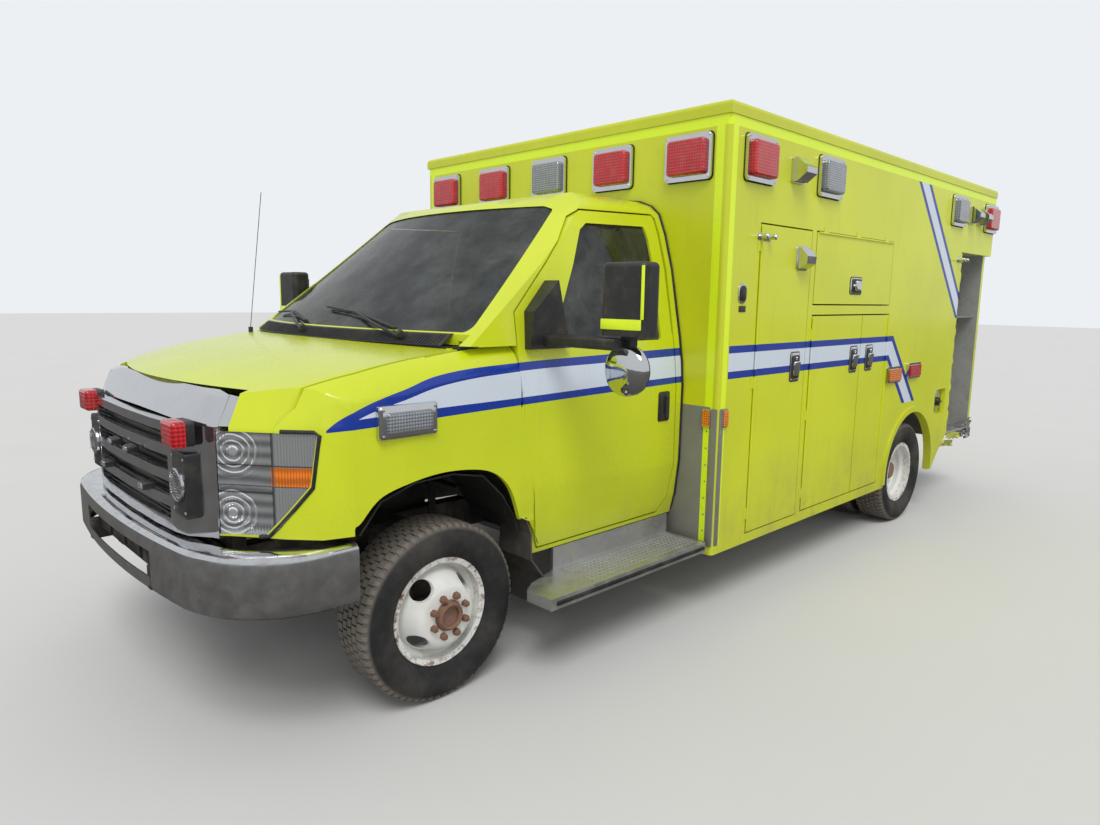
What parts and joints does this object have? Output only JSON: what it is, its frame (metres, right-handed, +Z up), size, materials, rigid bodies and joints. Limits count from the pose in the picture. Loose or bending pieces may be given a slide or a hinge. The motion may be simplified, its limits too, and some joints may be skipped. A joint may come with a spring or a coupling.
{
  "type": "ambulance",
  "caption": "Box-bodied ambulance on a cutaway van chassis with opening doors, hood, turning wheels and steering, damaged at its rear left corner.",
  "frame": {"origin": "on the ground under the middle of the vehicle's box, midway between its front and rear bumpers", "axes": "+X to the front bumper, +Y to the left side (as its driver sits), +Z up from the ground"},
  "size_m": [6.671, 3.03, 2.55],
  "materials": {
    "yellow_paint": "gloss lime yellow paint, weathered",
    "chassis_black": "dull black chassis paint with rust",
    "bare_steel": "bare worn steel",
    "tread_aluminium": "raised tread aluminium, dirty",
    "chrome": "chrome plate",
    "wheel_white": "white paint with rust on the nuts",
    "tyre_rubber": "dusty tyre rubber",
    "black_plastic": "textured black plastic",
    "grey_plastic": "grey cab plastic",
    "seat_cloth": "grey cloth",
    "cushion_vinyl": "blue vinyl",
    "white_liner": "white liner",
    "floor_sheet": "grey floor sheet",
    "window_glass": "tinted glass",
    "lamp_glass": "clear lamp cover",
    "lens_red": "red lens",
    "engine_metal": "engine metal",
    "spring_steel": "black spring steel"
  },
  "bodies": {
    "front_wheel_left": {"front_tyre_left": "tyre_rubber", "front_wheel_left": "wheel_white"},
    "front_wheel_right": {"front_tyre_right": "tyre_rubber", "front_wheel_right": "wheel_white"},
    "rear_wheels_left": {"rear_tyres_left": "tyre_rubber", "rear_wheels_left": "wheel_white"},
    "rear_wheels_right": {"rear_tyres_right": "tyre_rubber", "rear_wheels_right": "wheel_white"},
    "knuckle_left": {"knuckle_left": "bare_steel"},
    "knuckle_right": {"knuckle_right": "bare_steel"},
    "tie_rod": {"tie_rod": "bare_steel"},
    "body": {"front_beams": "chassis_black", "springs": "spring_steel", "chassis_frame": "chassis_black", "rear_axle": "chassis_black", "drive_shaft": "bare_steel", "engine_block": "engine_metal", "fuel_tank": "chassis_black", "exhaust": "bare_steel", "radiator": "black_plastic", "cab_shell": "yellow_paint", "cab_floor": "grey_plastic", "cowl_panel": "black_plastic", "front_fenders": "yellow_paint", "headlamps": "lamp_glass", "grille": "chrome", "front_bumper": "chrome", "fixed_glass": "window_glass", "dashboard": "grey_plastic", "cab_seats": "seat_cloth", "splash_guards": "black_plastic", "running_boards": "tread_aluminium", "front_wall": "yellow_paint", "left_wall": "yellow_paint", "right_wall": "yellow_paint", "rear_wall": "yellow_paint", "module_roof": "yellow_paint", "module_floor": "floor_sheet", "compartments": "white_liner", "damaged_compartment": "white_liner", "squad_bench": "cushion_vinyl", "lamp_bezels": "chrome", "lamp_lenses": "lens_red", "rear_bumper": "tread_aluminium"},
    "hood": {"hood": "yellow_paint"},
    "cab_door_left": {"cab_door_left": "yellow_paint", "cab_glass_left": "window_glass", "mirror_left": "black_plastic"},
    "cab_door_right": {"cab_door_right": "yellow_paint", "cab_glass_right": "window_glass", "mirror_right": "black_plastic"},
    "tall_door": {"tall_door": "yellow_paint"},
    "flip_door": {"flip_door": "yellow_paint"},
    "lower_door_front": {"lower_door_front": "yellow_paint"},
    "lower_door_rear": {"lower_door_rear": "yellow_paint"},
    "side_door": {"side_door": "yellow_paint"},
    "curb_rear_door": {"curb_rear_door": "yellow_paint"},
    "rear_door_left": {"rear_door_left": "yellow_paint"},
    "rear_door_right": {"rear_door_right": "yellow_paint"}
  },
  "joints": [
    {"name": "steer_left", "type": "hinge", "parent": "body", "child": "knuckle_left", "pos_m": [2.4095, 0.735, 0.366], "axis": [0, 0, 1], "range_deg": [-33, 33]},
    {"name": "steer_right", "type": "hinge", "parent": "body", "child": "knuckle_right", "pos_m": [2.4095, -0.735, 0.366], "axis": [0, 0, 1], "range_deg": [-33, 33]},
    {"name": "hood_hinge", "type": "hinge", "parent": "body", "child": "hood", "pos_m": [2.2575, 0, 1.415], "axis": [0, -1, 0], "range_deg": [0, 58]},
    {"name": "cab_door_left_hinge", "type": "hinge", "parent": "body", "child": "cab_door_left", "pos_m": [2.0365, 1.001, 1.18], "axis": [0, 0, -1], "range_deg": [0, 68]},
    {"name": "cab_door_right_hinge", "type": "hinge", "parent": "body", "child": "cab_door_right", "pos_m": [2.0365, -1.001, 1.18], "axis": [0, 0, 1], "range_deg": [0, 68]},
    {"name": "tall_door_hinge", "type": "hinge", "parent": "body", "child": "tall_door", "pos_m": [0.6085, 1.222, 1.19], "axis": [0, 0, -1], "range_deg": [0, 105]},
    {"name": "flip_door_hinge", "type": "hinge", "parent": "body", "child": "flip_door", "pos_m": [-0.5185, 1.222, 2], "axis": [1, 0, 0], "range_deg": [0, 95]},
    {"name": "lower_door_front_hinge", "type": "hinge", "parent": "body", "child": "lower_door_front", "pos_m": [0.0055, 1.222, 0.96], "axis": [0, 0, -1], "range_deg": [0, 105]},
    {"name": "lower_door_rear_hinge", "type": "hinge", "parent": "body", "child": "lower_door_rear", "pos_m": [-1.0585, 1.222, 0.96], "axis": [0, 0, 1], "range_deg": [0, 105]},
    {"name": "side_door_hinge", "type": "hinge", "parent": "body", "child": "side_door", "pos_m": [0.3575, -1.222, 1.23], "axis": [0, 0, 1], "range_deg": [0, 105]},
    {"name": "curb_rear_door_hinge", "type": "hinge", "parent": "body", "child": "curb_rear_door", "pos_m": [-2.3825, -1.222, 1.28], "axis": [0, 0, 1], "range_deg": [0, 105]},
    {"name": "rear_door_left_hinge", "type": "hinge", "parent": "body", "child": "rear_door_left", "pos_m": [-3.0945, 0.648, 1.49], "axis": [0, 0, -1], "range_deg": [0, 108]},
    {"name": "rear_door_right_hinge", "type": "hinge", "parent": "body", "child": "rear_door_right", "pos_m": [-3.0945, -0.648, 1.49], "axis": [0, 0, 1], "range_deg": [0, 108]},
    {"name": "front_wheel_left_spin", "type": "hinge", "parent": "knuckle_left", "child": "front_wheel_left", "pos_m": [2.4095, 0.85, 0.366], "axis": [0, 1, 0], "continuous": true},
    {"name": "front_wheel_right_spin", "type": "hinge", "parent": "knuckle_right", "child": "front_wheel_right", "pos_m": [2.4095, -0.85, 0.366], "axis": [0, 1, 0], "continuous": true},
    {"name": "rear_wheels_left_spin", "type": "hinge", "parent": "body", "child": "rear_wheels_left", "pos_m": [-1.6035, 0.951, 0.366], "axis": [0, 1, 0], "continuous": true},
    {"name": "rear_wheels_right_spin", "type": "hinge", "parent": "body", "child": "rear_wheels_right", "pos_m": [-1.6035, -0.951, 0.366], "axis": [0, 1, 0], "continuous": true},
    {"name": "tie_rod_slide", "type": "slide", "parent": "body", "child": "tie_rod", "axis": [0, 1, 0], "range_m": [-0.099, 0.099]}
  ],
  "couplings": [
    {"joint": "steer_right", "follows": "steer_left", "ratio": 1},
    {"joint": "tie_rod_slide", "follows": "steer_left", "m_per_rad": -0.17}
  ]
}
